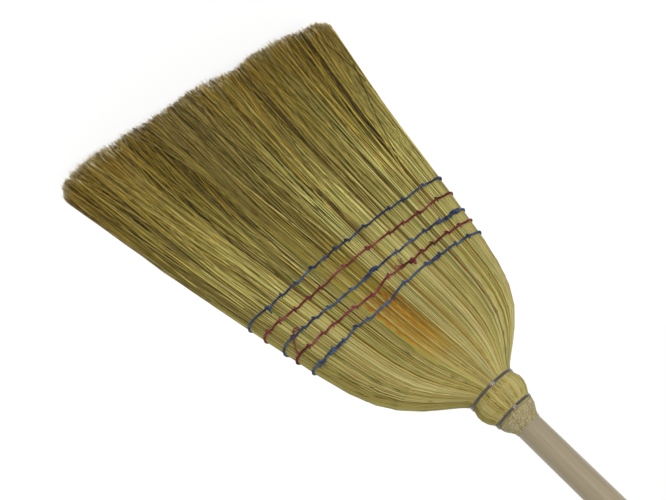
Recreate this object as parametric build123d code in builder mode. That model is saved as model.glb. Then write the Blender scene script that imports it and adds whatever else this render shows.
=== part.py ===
"""A stitched straw broom: a wooden handle with a flat fan of broom-corn straw wired round its end.

Frame, in millimetres: the broom stands upright with its sweeping edge in z = 0 and the handle's
axis on +Z. The flat of the fan lies in the XZ plane: its width runs along X, its thickness along
Y, and its front faces -Y.

How it is put together, from the inside out: a core bundle of straw is wired onto the tapered end
of the handle, a shoulder bundle goes on each side to give the width, and a cover of picked straw
goes all round. Two wires bind the neck, the butts above the upper wire are shaved to a cone, and
five rows of thread hold the fan flat.
"""
import os
from math import exp, pi, radians, sin, sqrt

from build123d import *

# ---- Whole broom ----
broom_height = 1400.0        # sweeping edge to the top of the handle
straw_length = 437.0         # sweeping edge to the lower neck wire
fit_gap = 0.4                # free space between neighbouring pieces

# ---- Handle ----
handle_diameter = 25.0
handle_sunk_diameter = 24.4  # turned down a little where the straw is wired onto it
handle_depth = 60.0          # length of handle below the lower neck wire, inside the straw
handle_taper_length = 50.0   # whittled stretch at the sunk end
handle_point_diameter = 15.0
handle_top_round = 9.0

# ---- Fan of straw ----
shoulder_half_width = 80.3   # where the fan's straight edges would meet the lower wire's level
edge_flare = 0.23            # half-width gained for each mm towards the sweeping edge
shoulder_reach = 33.8        # how far the rounded shoulder runs down from the neck
shoulder_roundness = 1.3
tip_half_thickness = 18.0
belly_growth = 0.53          # thickening just below the neck
belly_reach = 50.0           # how quickly the stitches draw that belly flat
edge_roundness = 0.62        # radius of the narrow edges, as a share of the half-thickness
neck_edge_roundness = 0.95   # the same just below the neck
flattening_reach = 30.0      # how soon the round neck turns into the flat fan
spreading_reach = 60.0       # how soon the bundles space evenly across the width
cover_thickness = 7.0        # cover straw in the flat of the fan
covers_per_side = 8
core_share = 0.5             # part of the inner half-width that the core fills in the fan
round_corner_angle = 76.0    # where the neck's outline counts as side rather than front, in degrees
inner_tip_lift = 6.0         # inner bundles stop this far above the sweeping edge
front_tip_lifts = (9, 6, 7, 3, 3, 5, 0, 9)        # uneven sweeping edge, from -X to +X
back_tip_lifts = (10, 5, 7, 4, 2, 5, 1, 10)

# ---- Neck, as rises above the lower wire and radii of the bound straw ----
neck_wire_rise = 26.0        # lower wire to upper wire
neck_butt_rise = 44.0        # sweeping side of the neck to the shaved end of the butts
lower_waist_radius = 23.6
bulb_radius = 25.5
bulb_place = 0.35            # widest place between the wires, as a share of the way up
bulb_shoulder_place = 0.6    # where the bulb starts to draw in
bulb_shoulder_share = 0.92   # its radius there, from the upper waist's 0 to the bulb's 1
upper_waist_radius = 19.0
butt_radius = 18.4
neck_cover_thickness = 4.0
neck_core_share = 0.85       # part of the inner half-width that the core fills in the neck
top_core_share = 0.96        # the same above the shoulder bundles
butt_wall = 1.1              # straw left at the thin end of the shaved cone

# ---- Binding wires and nail ----
wire_diameter = 1.2
wire_pitch = 1.3
wire_turns = 2.25
bind_rise = 9.0              # middle of the hidden binding wire above the lower neck wire
nail_diameter = 1.8
nail_head_diameter = 4.5
nail_head_thickness = 0.8
nail_length = 14.0

# ---- Stitching ----
thread_diameter = 1.5
thread_gap = 0.3             # thread to straw, and thread to thread
stitches_per_row = 11
row_heights = (322.0, 307.0, 292.0, 272.0, 252.0)
knot_radius = 2.3
blue_knots = (               # row, place across the fan from -1 to 1, length of the loose end
    (0, 0.58, 9.0),
    (2, -0.75, 7.0),
    (2, 0.08, 8.0),
    (4, 0.75, 8.0),
)
red_knots = (
    (1, -0.42, 8.0),
    (1, 0.75, 9.0),
)

# ---- Sizes that follow ----
handle_radius = handle_diameter / 2
sunk_radius = handle_sunk_diameter / 2
handle_bottom_z = straw_length - handle_depth
seat_radius = sunk_radius + fit_gap
wire_radius = wire_diameter / 2
wire_band = wire_pitch * wire_turns + wire_diameter
waist_height = wire_band + fit_gap
thread_radius = thread_diameter / 2
loop_radius = thread_diameter + thread_gap           # a stitch's bend round the wrapped thread
lower_wire_z = straw_length + waist_height / 2
upper_wire_z = lower_wire_z + neck_wire_rise
bind_z = lower_wire_z + bind_rise
butt_top_z = straw_length + neck_butt_rise
core_top_z = upper_wire_z + waist_height
shoulder_top_z = (lower_wire_z + upper_wire_z) / 2


def blend(start, end, share):
    """The value that lies the given share of the way from start to end."""
    return start + (end - start) * share


neck_stations = (            # height, outer radius of the straw
    (straw_length, lower_waist_radius),
    (straw_length + waist_height, lower_waist_radius),
    (blend(lower_wire_z, upper_wire_z, bulb_place), bulb_radius),
    (
        blend(lower_wire_z, upper_wire_z, bulb_shoulder_place),
        blend(upper_waist_radius, bulb_radius, bulb_shoulder_share),
    ),
    (upper_wire_z - waist_height / 2, upper_waist_radius),
    (upper_wire_z + waist_height / 2, upper_waist_radius),
    (core_top_z, butt_radius),
    (butt_top_z, seat_radius + butt_wall),
)
fan_shares = (0.02, 0.045, 0.08, 0.13, 0.19, 0.6)     # of the straw length, from the neck


def neck_radius(z):
    """Outer radius of the bound straw at and above the lower wire."""
    for (low_z, low_radius), (high_z, high_radius) in zip(neck_stations, neck_stations[1:]):
        if z <= high_z:
            return blend(low_radius, high_radius, max(z - low_z, 0.0) / (high_z - low_z))
    return neck_stations[-1][1]


def half_width(z):
    drop = max(straw_length - z, 0.0)
    rounding = exp(-((drop / shoulder_reach) ** shoulder_roundness))
    edge = shoulder_half_width + edge_flare * drop
    return edge - (shoulder_half_width - neck_radius(z)) * rounding


def half_thickness(z):
    drop = max(straw_length - z, 0.0)
    belly = neck_radius(z) - tip_half_thickness + belly_growth * drop
    return tip_half_thickness + belly * exp(-drop / belly_reach)


def cover_depth(z):
    """Thickness of the cover straw at height z."""
    drop = straw_length - z
    if drop > 0:
        return blend(cover_thickness, neck_cover_thickness, exp(-drop / flattening_reach))
    share = max(z - core_top_z, 0.0) / (butt_top_z - core_top_z)
    return blend(neck_cover_thickness, butt_wall, share)


class Section:
    """The outline of the straw at height z: a circle in the neck, and below it a flat oval.

    The oval is made of a wide arc on the front and back and a small arc round each narrow edge.
    A depth gives the parallel outline that lies that far inside, or outside if negative."""

    def __init__(self, z, depth=0.0):
        width, thickness = half_width(z), half_thickness(z)
        drop = max(straw_length - z, 0.0)
        self.round_share = exp(-drop / spreading_reach)
        self.is_round = width - thickness < 0.1
        edge = thickness * blend(edge_roundness, neck_edge_roundness, exp(-drop / flattening_reach))
        self.edge_centre = 0.0 if self.is_round else width - edge
        wide = thickness
        if not self.is_round:
            wide = (self.edge_centre ** 2 + thickness ** 2 - edge ** 2) / (2 * (thickness - edge))
        self.wide_centre = wide - thickness
        self.wide = wide - depth
        self.edge = wide - depth if self.is_round else edge - depth
        self.width = width - depth
        self.corner_x = self.width * sin(radians(round_corner_angle))
        if not self.is_round:
            self.corner_x = self.edge_centre * self.wide / (self.wide - self.edge)

    def front(self, x):
        """The point of the front outline at x."""
        if abs(x) <= self.corner_x:
            return Vector(x, self.wide_centre - sqrt(self.wide ** 2 - x ** 2))
        over = min(abs(x) - self.edge_centre, self.edge)
        return Vector(x, -sqrt(round(self.edge ** 2 - over ** 2, 6)))

    def at(self, across):
        """The point of the front outline at a place from -1 to 1.

        In the neck the places are even round the circle, in the fan across the width."""
        return self.front(self.width * blend(across, sin(across * pi / 2), self.round_share))


def loft_heights(bottom_z, top_z):
    """Heights of a bundle's sections: at the neck's turns, the stitched rows and between them."""
    heights = [straw_length * (1 - share) for share in fan_shares]
    heights += row_heights[::2]
    heights += [z for z, radius in neck_stations]
    return [bottom_z, *sorted(z for z in heights if bottom_z + 2 < z < top_z - 0.5), top_z]


def outline_arc(section, start_x, end_x, facing=1):
    """Part of a section's outline that stays on one of its arcs: facing is -1 on the back."""
    points = [section.front(x) for x in (start_x, (start_x + end_x) / 2, end_x)]
    ThreePointArc(*[(point.X, point.Y * facing) for point in points])


# ---- Handle ----
with BuildPart() as handle:
    with BuildSketch(Plane.XZ):
        with BuildLine():
            Polyline(
                (0, broom_height),
                (0, handle_bottom_z),
                (handle_point_diameter / 2, handle_bottom_z),
                (sunk_radius, handle_bottom_z + handle_taper_length),
                (sunk_radius, butt_top_z + fit_gap),
                (handle_radius, butt_top_z + fit_gap),
                (handle_radius, broom_height),
                close=True,
            )
        make_face()
    revolve(axis=Axis.Z)
    fillet(handle.edges().sort_by(Axis.Z)[-1], handle_top_round)
    chamfer(handle.edges().sort_by(Axis.Z)[0], handle_point_diameter / 8)

# Room that the handle takes up inside the straw, with the fit all round it.
with BuildPart() as handle_seat:
    with BuildSketch(Plane.XZ):
        with BuildLine():
            Polyline(
                (0, butt_top_z),
                (0, handle_bottom_z - fit_gap),
                (handle_point_diameter / 2 + fit_gap, handle_bottom_z - fit_gap),
                (seat_radius, handle_bottom_z + handle_taper_length),
                (seat_radius, butt_top_z),
                close=True,
            )
        make_face()
    revolve(axis=Axis.Z)


# ---- Places of the stitches ----
boundaries = [2 * place / covers_per_side - 1 for place in range(covers_per_side + 1)]
stitch_places = [2 * (place + 1) / (stitches_per_row + 1) - 1 for place in range(stitches_per_row)]
thread_depth = -(thread_gap + thread_radius)


def thread_point(row, across, depth=thread_depth):
    """Point on the front of a row's wrapped thread."""
    point = Section(row_heights[row], depth).at(across)
    return Vector(point.X, point.Y, row_heights[row])


stitch_points = [thread_point(row, across) for row in range(len(row_heights)) for across in stitch_places]
slot_width = thread_diameter + 2 * thread_gap
slot_height = 2 * (loop_radius + thread_radius + thread_gap)


def cut_stitch_slots(low_x, high_x):
    """Cut the slots that the stitches pass through between the stalks, from low_x to high_x."""
    inside = [(point.X, 0, point.Z) for point in stitch_points
              if low_x(point.Z) - slot_width < point.X < high_x(point.Z) + slot_width]
    with Locations(*inside):
        Box(slot_width, 4 * bulb_radius, slot_height, mode=Mode.SUBTRACT)


# Groove of the hidden binding wire, cut into the core and the shoulders.
bind_outer_radius = neck_radius(bind_z) - neck_cover_thickness - fit_gap
bind_wire_radius = bind_outer_radius - thread_gap - wire_radius
with BuildPart() as bind_groove:
    with BuildSketch(Plane.XY.offset(bind_z)):
        Circle(bulb_radius)
        Circle(bind_wire_radius - wire_radius - fit_gap, mode=Mode.SUBTRACT)
    extrude(amount=waist_height / 2, both=True)

# Nail that holds the start of the wire, driven into the handle from the front.
nail_z = bind_z - wire_band / 2 - nail_head_diameter / 2 - fit_gap
nail_seat = lower_waist_radius - neck_cover_thickness - nail_head_thickness - fit_gap
nail_plane = Plane(origin=(0, -nail_seat, nail_z), z_dir=(0, -1, 0))
with BuildPart() as binding_nail:
    with BuildSketch(nail_plane):
        Circle(nail_diameter / 2)
    extrude(amount=-nail_length)
    with BuildSketch(nail_plane):
        Circle(nail_head_diameter / 2)
    extrude(amount=nail_head_thickness)
with BuildPart() as nail_room:
    with BuildSketch(nail_plane):
        Circle(nail_diameter / 2 + fit_gap / 2)
    extrude(amount=-nail_length - fit_gap / 2)
    with BuildSketch(nail_plane.offset(-fit_gap / 2)):
        Circle(nail_head_diameter / 2 + fit_gap / 2)
    extrude(amount=bulb_radius)
with BuildPart() as bored_handle:
    add(handle.part)
    add(nail_room.part, mode=Mode.SUBTRACT)


# ---- Core bundle, wired straight onto the handle ----
def inner_section(z):
    return Section(z, cover_depth(z) + fit_gap)


def core_half_x(z):
    """Half-width of the core, the rest of the inner width going to the shoulders."""
    drop = max(straw_length - z, 0.0)
    share = blend(core_share, neck_core_share, exp(-drop / flattening_reach))
    if z > shoulder_top_z:
        share = top_core_share
    return min(share * inner_section(z).width, inner_section(z).corner_x)


core_heights = [*loft_heights(inner_tip_lift, core_top_z), shoulder_top_z, shoulder_top_z + 2 * fit_gap]
with BuildPart() as core_bundle:
    for z in sorted(core_heights):
        side = core_half_x(z)
        edge = inner_section(z).front(side).Y
        with BuildSketch(Plane.XY.offset(z)):
            with BuildLine():
                outline_arc(inner_section(z), -side, side)
                Line((side, edge), (side, -edge))
                outline_arc(inner_section(z), side, -side, facing=-1)
                Line((-side, -edge), (-side, edge))
            make_face()
    loft(ruled=True)
    add(handle_seat.part, mode=Mode.SUBTRACT)
    add(bind_groove.part, mode=Mode.SUBTRACT)
    add(nail_room.part, mode=Mode.SUBTRACT)
    cut_stitch_slots(lambda z: -core_half_x(z), core_half_x)


# ---- Shoulder bundles, one on each side of the core ----
with BuildPart() as shoulder_right:
    for z in loft_heights(inner_tip_lift, shoulder_top_z - fit_gap):
        section, inner_x = inner_section(z), core_half_x(z) + fit_gap
        corner_x = max(section.corner_x, inner_x + fit_gap)
        edge = section.front(inner_x).Y
        with BuildSketch(Plane.XY.offset(z)):
            with BuildLine():
                Line((inner_x, -edge), (inner_x, edge))
                outline_arc(section, inner_x, corner_x)
                outline_arc(section, corner_x, section.width)
                outline_arc(section, section.width, corner_x, facing=-1)
                outline_arc(section, corner_x, inner_x, facing=-1)
            make_face()
    loft(ruled=True)
    add(bind_groove.part, mode=Mode.SUBTRACT)
    cut_stitch_slots(core_half_x, half_width)
with BuildPart() as shoulder_left:
    add(mirror(shoulder_right.part, about=Plane.YZ, mode=Mode.PRIVATE))


# ---- Cover bundles ----
def cover_side(outer, inner, across, inward):
    """The ends of a cover bundle's side face: half a gap off its boundary, inward being 1 or -1."""
    edge = outer.at(across) - inner.at(across)
    shift = edge.normalized().rotate(Axis.Z, 90 * inward) * (fit_gap / 2)
    return outer.at(across) + shift, inner.at(across) + shift


def cover_edge(section, start, end, start_across, end_across):
    """One long edge of a cover bundle's section, bent at the corner where it rounds the fan's side."""
    side = start_across + end_across
    middle = section.at(side / 2)
    if max(abs(start_across), abs(end_across)) < 1:
        ThreePointArc(start, middle, end)
        return
    inner_x, outer_x = sorted((abs(start.X), abs(end.X)))
    corner_x = max(section.corner_x, blend(inner_x, outer_x, 0.3))
    corner = section.front(corner_x if side > 0 else -corner_x)
    ThreePointArc(start, section.front((start.X + corner.X) / 2), corner)
    ThreePointArc(corner, section.front((corner.X + end.X) / 2), end)


def cover_bundle(place, facing, bottom_z):
    """One bundle of the cover: facing is 1 on the front of the fan and -1 on its back."""
    left, right = boundaries[place], boundaries[place + 1]
    with BuildPart() as cover:
        for z in loft_heights(bottom_z, butt_top_z):
            outer, inner = Section(z), Section(z, cover_depth(z))
            outer_left, inner_left = cover_side(outer, inner, left, 1)
            outer_right, inner_right = cover_side(outer, inner, right, -1)
            with BuildSketch(Plane.XY.offset(z)):
                with BuildLine():
                    cover_edge(outer, outer_left, outer_right, left, right)
                    Line(outer_right, inner_right)
                    cover_edge(inner, inner_right, inner_left, right, left)
                    Line(inner_left, outer_left)
                make_face()
        loft(ruled=True)
        cut_stitch_slots(lambda z: Section(z).at(left).X, lambda z: Section(z).at(right).X)
    if facing < 0:
        return mirror(cover.part, about=Plane.XZ)
    return cover.part


# ---- Wires ----
def wire_coil(middle_z, coil_radius, turns):
    """A wire wound round the neck, its turns side by side."""
    height = wire_pitch * turns
    path = Helix(wire_pitch, height, coil_radius, center=(0, 0, middle_z - height / 2))
    with BuildPart() as coil:
        with BuildSketch(Plane(origin=path @ 0, z_dir=path % 0)):
            Circle(wire_radius)
        sweep(path=path, is_frenet=True)
    return coil.part


# ---- Threads ----
def wrapped_thread(row):
    """The thread that goes once round the fan, its two ends meeting at the +X edge."""
    section = Section(row_heights[row], thread_depth)
    corner, end_x = section.corner_x, section.edge_centre + sqrt(section.edge ** 2 - thread_radius ** 2)
    with BuildPart() as thread:
        with BuildLine(Plane.XY.offset(row_heights[row])) as path:
            outline_arc(section, end_x, corner)
            outline_arc(section, corner, -corner)
            edge_y = section.front(corner).Y
            ThreePointArc((-corner, edge_y), (-section.width, 0), (-corner, -edge_y))
            outline_arc(section, -corner, corner, facing=-1)
            outline_arc(section, corner, end_x, facing=-1)
        with BuildSketch(Plane(origin=path.line @ 0, z_dir=path.line % 0)):
            Circle(thread_radius)
        sweep(path=path.line)
    return thread.part


def stitches(row):
    """The loops of sewing thread that tie a row's wrapped thread through the fan, front to back."""
    with BuildPart() as loops:
        for across in stitch_places:
            point = thread_point(row, across)
            reach = abs(point.Y)
            loop_plane = Plane(origin=(point.X, 0, point.Z), x_dir=(0, 1, 0), z_dir=(1, 0, 0))
            with BuildLine(loop_plane) as path:
                Line((-reach, loop_radius), (reach, loop_radius))
                ThreePointArc((reach, loop_radius), (reach + loop_radius, 0), (reach, -loop_radius))
                Line((reach, -loop_radius), (-reach, -loop_radius))
                ThreePointArc((-reach, -loop_radius), (-reach - loop_radius, 0), (-reach, loop_radius))
            with BuildSketch(Plane(origin=path.line @ 0, z_dir=path.line % 0)):
                Circle(thread_radius)
            sweep(path=path.line)
    return loops.part


def thread_knots(places):
    """Knots that sit on the wrapped threads, each with its cut end lying on the straw."""
    with BuildPart() as tied:
        for row, across, tail_length in places:
            along = thread_point(row, across + 0.02) - thread_point(row, across - 0.02)
            with Locations(thread_point(row, across, -(thread_gap + knot_radius))):
                Sphere(knot_radius)
            with BuildSketch(Plane(origin=thread_point(row, across), z_dir=along)):
                Circle(thread_radius + thread_gap)
            extrude(amount=2 * knot_radius, both=True, mode=Mode.SUBTRACT)
            below = thread_point(row, across) - Vector(0, 0, thread_radius + thread_gap)
            with BuildSketch(Plane(origin=below, z_dir=(0, 0, -1))):
                Circle(thread_radius)
            extrude(amount=tail_length)
    return tied.part


# ---- Name every piece and write it out ----
neck_wire_gap = thread_gap + wire_radius
pieces = {
    "handle": bored_handle.part,
    "core_bundle": core_bundle.part,
    "shoulder_left": shoulder_left.part,
    "shoulder_right": shoulder_right.part,
    "binding_nail": binding_nail.part,
    "binding_wire": wire_coil(bind_z, bind_wire_radius, wire_turns),
    "neck_wire_lower": wire_coil(lower_wire_z, lower_waist_radius + neck_wire_gap, wire_turns),
    "neck_wire_upper": wire_coil(upper_wire_z, upper_waist_radius + neck_wire_gap, wire_turns),
    "blue_thread_knots": thread_knots(blue_knots),
    "red_thread_knots": thread_knots(red_knots),
}
for place in range(covers_per_side):
    pieces[f"cover_front_{place + 1}"] = cover_bundle(place, 1, front_tip_lifts[place])
    pieces[f"cover_back_{place + 1}"] = cover_bundle(place, -1, back_tip_lifts[place])
for row in range(len(row_heights)):
    pieces[f"row_{row + 1}_thread"] = wrapped_thread(row)
    pieces[f"row_{row + 1}_stitches"] = stitches(row)

os.makedirs("parts", exist_ok=True)
for name, piece in pieces.items():
    piece.label = name
    export_step(piece, f"parts/{name}.step")
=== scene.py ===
"""The looks of a stitched straw broom, built around its CAD frame. Lengths in the formulas are in
millimetres, as a maker gives them, and MM turns them into Blender's metres."""
import math
import random

import bpy
from mathutils import Matrix, Vector


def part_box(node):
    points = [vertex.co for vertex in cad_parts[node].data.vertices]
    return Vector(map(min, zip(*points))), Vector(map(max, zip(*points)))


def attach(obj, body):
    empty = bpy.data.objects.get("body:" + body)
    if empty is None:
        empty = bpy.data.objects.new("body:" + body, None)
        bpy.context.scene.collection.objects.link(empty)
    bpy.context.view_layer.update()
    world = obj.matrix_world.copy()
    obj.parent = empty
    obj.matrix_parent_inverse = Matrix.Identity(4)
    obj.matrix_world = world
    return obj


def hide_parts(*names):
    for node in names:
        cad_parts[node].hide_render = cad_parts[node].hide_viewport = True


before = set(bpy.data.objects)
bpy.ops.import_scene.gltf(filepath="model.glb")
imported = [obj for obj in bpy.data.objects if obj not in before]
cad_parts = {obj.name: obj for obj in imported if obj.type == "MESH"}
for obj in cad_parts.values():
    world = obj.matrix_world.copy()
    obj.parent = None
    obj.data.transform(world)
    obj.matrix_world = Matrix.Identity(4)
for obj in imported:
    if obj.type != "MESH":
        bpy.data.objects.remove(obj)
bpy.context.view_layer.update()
scene = bpy.context.scene
MM = 0.001


def node_mm(name):
    """Lowest and highest corner of a CAD node, in millimetres."""
    return [Vector(corner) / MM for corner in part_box(name)]


def middle_z(name):
    low, high = node_mm(name)
    return (low.z + high.z) / 2


# ---- Sizes of the broom, in millimetres, as the CAD pieces have them ----
lower_wire_z = middle_z("neck_wire_lower")
upper_wire_z = middle_z("neck_wire_upper")
butt_top_z = node_mm("cover_front_1")[1].z
row_heights = [middle_z(f"row_{row}_thread") for row in range(1, 6)]
waist_half = 2.3  # half the height of the waist that a neck wire lies in
straw_length = lower_wire_z - waist_half
lower_waist_radius = 23.6
bulb_radius = 25.5
bulb_place = 0.35  # widest place between the wires, as a share of the way up
bulb_shoulder_place = 0.6  # where the bulb starts to draw in
bulb_shoulder_share = 0.92  # its radius there, from the upper waist's 0 to the bulb's 1
upper_waist_radius = 19.0
butt_radius = 18.4
butt_top_radius = 13.7
shoulder_half_width = 80.3  # where the fan's straight edges would meet the lower wire's level
edge_flare = 0.23  # half-width gained for each mm towards the sweeping edge
shoulder_reach = 33.8  # how far the rounded shoulder runs down from the neck
shoulder_roundness = 1.3
tip_half_thickness = 18.0
belly_growth = 0.53  # thickening just below the neck
belly_reach = 50.0  # how quickly the stitches draw that belly flat
edge_roundness = 0.62  # radius of the narrow edges, as a share of the half-thickness
neck_edge_roundness = 0.95  # the same just below the neck
flattening_reach = 30.0  # how soon the round neck turns into the flat fan
covers_per_side = 8

# How far the sweeping edge stands above the floor, at places across the front from -X to +X.
tip_stations = (
    (-181, 18), (-166, 9), (-142, 7), (-126, 3), (-94, 2), (-78, 2), (-56, 6), (-38, 5), (-14, 0.5),
    (2, 0), (22, 2), (56, 3), (74, 0), (112, 0), (124, 0), (146, 1), (162, 6), (181, 18),
)
# The fan leans a little to one side on its way down: height, and how far towards +X.
sway_stations = ((0, -4), (35, -3), (90, -1), (130, 0), (180, 1.6), (250, 0), (320, 0), (500, 0))


# ---- Small helpers ----
def srgb(code):
    """A colour written as sRGB hex, as the linear numbers that Blender works in."""
    values = [int(code[i:i + 2], 16) / 255 for i in (0, 2, 4)]
    return [v / 12.92 if v <= 0.04045 else ((v + 0.055) / 1.055) ** 2.4 for v in values] + [1.0]


def socket(sockets, key):
    """The socket with this number, or the first one in use with this name."""
    if isinstance(key, int):
        return sockets[key]
    return next(s for s in sockets if s.name == key and s.enabled)


class Nodes:
    """Short ways to add nodes to one tree."""

    def __init__(self, tree):
        self.tree = tree

    def fill(self, node, inputs):
        """Gives each of these input sockets a value or a link."""
        for key, value in inputs.items():
            target = socket(node.inputs, key)
            if isinstance(value, bpy.types.Node):
                value = next(s for s in value.outputs if s.enabled)
            if isinstance(value, bpy.types.NodeSocket):
                self.tree.links.new(value, target)
            else:
                target.default_value = value

    def add(self, kind, inputs=None, **settings):
        """Adds a node with these properties and inputs."""
        node = self.tree.nodes.new(kind)
        for key, value in settings.items():
            setattr(node, key, value)
        self.fill(node, inputs or {})
        return node

    def math(self, operation, *values, **settings):
        return self.add("ShaderNodeMath", dict(enumerate(values)), operation=operation, **settings)

    def total(self, first, *others):
        for value in others:
            first = self.math("ADD", first, value)
        return first

    def product(self, first, *others):
        for value in others:
            first = self.math("MULTIPLY", first, value)
        return first

    def mapped(self, value, source=(0.0, 1.0), target=(0.0, 1.0), **settings):
        """The value moved from one range to another, and held inside it."""
        ends = {"From Min": source[0], "From Max": source[1], "To Min": target[0], "To Max": target[1]}
        return self.add("ShaderNodeMapRange", {"Value": value, **ends}, **settings)

    def vector(self, x=0.0, y=0.0, z=0.0):
        return self.add("ShaderNodeCombineXYZ", {0: x, 1: y, 2: z})

    def mix(self, factor, first, second):
        return self.add("ShaderNodeMix", {"Factor": factor, 2: first, 3: second}).outputs[0]

    def mix_colour(self, factor, first, second):
        inputs = {"Factor": factor, 6: first, 7: second}
        return self.add("ShaderNodeMix", inputs, data_type="RGBA").outputs[2]

    def noise(self, place, scale, detail, **inputs):
        """Smooth noise from 0 to 1."""
        inputs = {"Vector": place, "Scale": scale, "Detail": detail, **inputs}
        return self.add("ShaderNodeTexNoise", inputs).outputs["Fac"]

    def ramp(self, factor, steps):
        """A ramp through (position, sRGB hex) steps."""
        ramp = self.add("ShaderNodeValToRGB", {"Fac": factor})
        while len(ramp.color_ramp.elements) < len(steps):
            ramp.color_ramp.elements.new(0.5)
        for element, (position, code) in zip(ramp.color_ramp.elements, steps):
            element.position, element.color = position, srgb(code)
        return ramp.outputs["Color"]


def new_object(name, data):
    piece = bpy.data.objects.new(name, data)
    scene.collection.objects.link(piece)
    return piece


def made_mesh(name, places, faces, material=None, smooth=True):
    mesh = bpy.data.meshes.new(name)
    mesh.from_pydata(places, [], faces)
    if smooth:
        mesh.shade_smooth()
    if material:
        mesh.materials.append(material)
    return mesh


def finish_piece(piece, slot, *nodes):
    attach(piece, "root")
    if nodes:
        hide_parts(*nodes)


def joined(name, meshes):
    """One object made of several meshes."""
    pieces = [new_object(f"{name}_{k}", mesh) for k, mesh in enumerate(meshes)]
    with bpy.context.temp_override(active_object=pieces[0], selected_editable_objects=pieces):
        bpy.ops.object.join()
    pieces[0].name = name
    return pieces[0]


def ring_faces(around, levels, upward=False):
    """Outward faces between the rings of a stack that goes down, or of one that goes up."""
    faces = []
    for level in range(levels - 1):
        for step in range(around):
            first, second = level * around + step, level * around + (step + 1) % around
            if upward:
                first, second = second, first
            faces.append((first, second, second + around, first + around))
    return faces


def blend(start, end, share):
    return start + (end - start) * share


def along_stations(stations, place):
    """Value at a place, eased from each station to the next."""
    for (low, low_value), (high, high_value) in zip(stations, stations[1:]):
        if place <= high:
            share = min(max((place - low) / (high - low), 0.0), 1.0)
            return blend(low_value, high_value, share * share * (3 - 2 * share))
    return stations[-1][1]


# ---- Shape of the straw ----
neck_stations = (
    (straw_length, lower_waist_radius),
    (lower_wire_z + waist_half, lower_waist_radius),
    (blend(lower_wire_z, upper_wire_z, bulb_place), bulb_radius),
    (blend(lower_wire_z, upper_wire_z, bulb_shoulder_place),
     blend(upper_waist_radius, bulb_radius, bulb_shoulder_share)),
    (upper_wire_z - waist_half, upper_waist_radius),
    (upper_wire_z + waist_half, upper_waist_radius),
    (upper_wire_z + 2 * waist_half, butt_radius),
    (butt_top_z, butt_top_radius),
)


def section(z):
    """Half-width, half-thickness and edge radius of the straw at height z."""
    drop = max(straw_length - z, 0.0)
    neck = along_stations(neck_stations, z)
    rounding = math.exp(-((drop / shoulder_reach) ** shoulder_roundness))
    width = shoulder_half_width + edge_flare * drop - (shoulder_half_width - neck) * rounding
    belly = neck - tip_half_thickness + belly_growth * drop
    thickness = tip_half_thickness + belly * math.exp(-drop / belly_reach)
    edge = thickness * blend(edge_roundness, neck_edge_roundness, math.exp(-drop / flattening_reach))
    return width, thickness, edge


def outline_point(z, turn):
    """Point on the straw's outline: turn runs 0 to 1 from the +X edge over the front (-Y), the -X
    edge and the back, evenly along the outline. Comes with the outward normal."""
    width, thickness, edge = section(z)
    quarter = (turn * 4) % 1
    number = int(math.floor(turn * 4)) % 4
    share = quarter if number % 2 == 0 else 1 - quarter  # 0 at the narrow edge, 1 at the middle
    if width - thickness < 0.1:
        angle = share * math.pi / 2
        x, y = width * math.cos(angle), width * math.sin(angle)
    else:
        centre = width - edge
        wide = (centre ** 2 + thickness ** 2 - edge ** 2) / (2 * (thickness - edge))
        bend = math.asin(centre / (wide - edge))  # half-angle of the wide arc
        edge_length, wide_length = edge * (math.pi / 2 - bend), wide * bend
        along = share * (edge_length + wide_length)
        if along < edge_length:
            angle = along / edge
            x, y = centre + edge * math.cos(angle), edge * math.sin(angle)
        else:
            angle = math.pi / 2 - bend + (along - edge_length) / wide
            x, y = wide * math.cos(angle), wide * math.sin(angle) - (wide - thickness)
    side_x = 1 if number in (0, 3) else -1
    side_y = -1 if number in (0, 1) else 1
    sway = along_stations(sway_stations, z)
    return (Vector((x * side_x + sway, y * side_y, z)),
            Vector((math.cos(angle) * side_x, math.sin(angle) * side_y, 0)))


def turn_at(x, z):
    """The turn at which the front's outline passes x."""
    low, high = 0.0, 0.5
    for _ in range(24):
        middle = (low + high) / 2
        low, high = (middle, high) if outline_point(z, middle)[0].x > x else (low, middle)
    return (low + high) / 2


def tip_height(turn):
    """Height of the uneven sweeping edge above the floor at a place round the fan."""
    point = outline_point(0.0, turn)[0]
    return along_stations(tip_stations, point.x if point.y < 0 else -point.x)


# Heights of the guide's rows: close together round the neck, where the straw bends.
guide_heights = (butt_top_z, butt_top_z - 6, 471.5, 466.5, 463, 458, 453, 448, 443, 438.5, 435, 430, 422,
                 412, 397, 377, 348, 304, 236, 160, 80, 0)
guide_margin = 0.06  # the guide laps over itself by this much of a turn at each end
guide_columns = 336


def straw_guide():
    """A sheet that follows the outside of the straw, with a map of turn and place down the straw."""
    rows, columns = len(guide_heights), guide_columns + 1
    places, faces, spots = [], [], []
    for row, z in enumerate(guide_heights):
        for column in range(columns):
            turn = -guide_margin + (1 + 2 * guide_margin) * column / guide_columns
            height = tip_height(turn % 1.0) if row == rows - 1 else z
            places.append(outline_point(height, turn % 1.0)[0] * MM)
            spots.append((column / guide_columns, row / (rows - 1)))
    for row in range(rows - 1):
        for column in range(columns - 1):
            first = row * columns + column
            faces.append((first, first + 1, first + 1 + columns, first + columns))
    mesh = made_mesh("straw_guide", places, faces)
    layer = mesh.uv_layers.new(name="guide")
    for face in mesh.polygons:
        for corner, vertex in zip(face.loop_indices, face.vertices):
            layer.data[corner].uv = spots[vertex]
    return mesh


def guide_turn(turn):
    """Where a turn of the broom lies across the guide, from 0 to 1."""
    return (turn + guide_margin) / (1 + 2 * guide_margin)


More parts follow.
